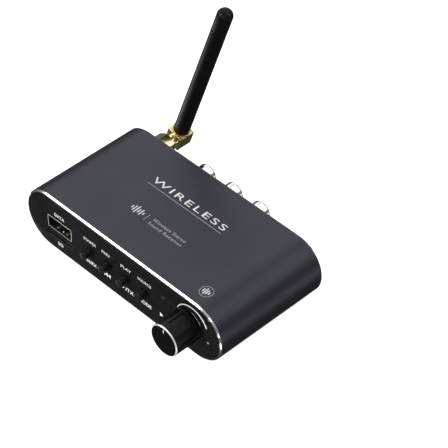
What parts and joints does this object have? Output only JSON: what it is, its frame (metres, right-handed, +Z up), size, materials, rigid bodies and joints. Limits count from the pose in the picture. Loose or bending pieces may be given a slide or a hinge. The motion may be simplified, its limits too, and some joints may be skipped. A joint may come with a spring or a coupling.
{
  "type": "bluetooth audio receiver",
  "caption": "Desktop wireless audio receiver in a rounded aluminium case, with push buttons, volume knob, card and drive sockets, phono jacks and a swivelling antenna.",
  "frame": {"origin": "bottom centre of the whole object's box, on the plane of the feet", "axes": "+Z up, +X to the right seen from the front, +Y from the front panel to the back"},
  "size_m": [0.104, 0.0834, 0.0886],
  "materials": {
    "case_finish": "satin blue-grey anodised, bright turned edges",
    "gloss_black": "polished",
    "panel_black": "fine matt powder coat",
    "rubber": "matt",
    "screw_black": "black zinc",
    "board_green": "solder mask",
    "tin_steel": "tin plated",
    "plastic_black": "moulded",
    "gold": "gold plated, polished",
    "nickel": "nickel plated, polished",
    "insulator_orange": "moulded",
    "insulator_red": "moulded",
    "insulator_white": "moulded",
    "clear_lens": "diffused",
    "knob_black": "black anodised, bright front edge",
    "pot_metal": "bare",
    "capacitor_sleeve": "bright can",
    "copper": "bare copper"
  },
  "bodies": {
    "case": {"antenna_lead": "plastic_black", "antenna_plug": "gold", "antenna_socket": "gold", "back_panel": "panel_black", "back_panel_screws": "screw_black", "capacitors": "capacitor_sleeve", "card_base": "plastic_black", "card_cover": "tin_steel", "case_sleeve": "case_finish", "converter_chip": "plastic_black", "decoder_chip": "plastic_black", "front_panel": "gloss_black", "line_jack": "plastic_black", "main_board": "board_green", "mode_switch": "plastic_black", "mode_switch_bracket": "tin_steel", "module_shield": "tin_steel", "play_switch": "plastic_black", "play_switch_bracket": "tin_steel", "power_jack": "plastic_black", "power_pin": "tin_steel", "power_switch": "plastic_black", "power_switch_bracket": "tin_steel", "previous_switch": "plastic_black", "previous_switch_bracket": "tin_steel", "radio_module": "board_green", "rca_block": "plastic_black", "rca_coaxial_contact": "nickel", "rca_coaxial_insulator": "insulator_orange", "rca_coaxial_shell": "nickel", "rca_left_contact": "nickel", "rca_left_insulator": "insulator_white", "rca_left_shell": "nickel", "rca_right_contact": "nickel", "rca_right_insulator": "insulator_red", "rca_right_shell": "nickel", "remote_sensor": "plastic_black", "rubber_feet": "rubber", "socket_nut": "gold", "socket_washer": "gold", "status_light": "clear_lens", "status_light_leads": "tin_steel", "usb_contacts": "gold", "usb_shell": "tin_steel", "usb_tongue": "plastic_black", "volume_nut": "tin_steel", "volume_pot": "pot_metal"},
    "volume_knob": {"volume_knob": "knob_black", "volume_shaft": "pot_metal", "volume_wiper": "plastic_black"},
    "coupling_nut": {"coupling_nut": "gold"},
    "antenna": {"antenna_elbow": "gold", "antenna_sleeve": "rubber", "antenna_core": "copper"},
    "power_button": {"power_button": "plastic_black"},
    "previous_button": {"previous_button": "plastic_black"},
    "play_button": {"play_button": "plastic_black"},
    "mode_button": {"mode_button": "plastic_black"}
  },
  "joints": [
    {"name": "volume_turn", "type": "hinge", "parent": "case", "child": "volume_knob", "pos_m": [0.03555, -0.02967, 0.0143], "axis": [0, 1, 0], "range_deg": [-150, 150]},
    {"name": "nut_turn", "type": "hinge", "parent": "case", "child": "coupling_nut", "pos_m": [-0.0408, 0.02152, 0.0137], "axis": [0, 1, 0], "continuous": true},
    {"name": "antenna_swivel", "type": "hinge", "parent": "case", "child": "antenna", "pos_m": [-0.0408, 0.03803, 0.0137], "axis": [0, 1, 0], "range_deg": [-109.3, 70.7]},
    {"name": "power_press", "type": "slide", "parent": "case", "child": "power_button", "axis": [0, 1, 0], "range_m": [0, 0.00035], "stiffness_N_per_m": 2000, "springref_m": -0.0002},
    {"name": "previous_press", "type": "slide", "parent": "case", "child": "previous_button", "axis": [0, 1, 0], "range_m": [0, 0.00035], "stiffness_N_per_m": 2000, "springref_m": -0.0002},
    {"name": "play_press", "type": "slide", "parent": "case", "child": "play_button", "axis": [0, 1, 0], "range_m": [0, 0.00035], "stiffness_N_per_m": 2000, "springref_m": -0.0002},
    {"name": "mode_press", "type": "slide", "parent": "case", "child": "mode_button", "axis": [0, 1, 0], "range_m": [0, 0.00035], "stiffness_N_per_m": 2000, "springref_m": -0.0002}
  ]
}
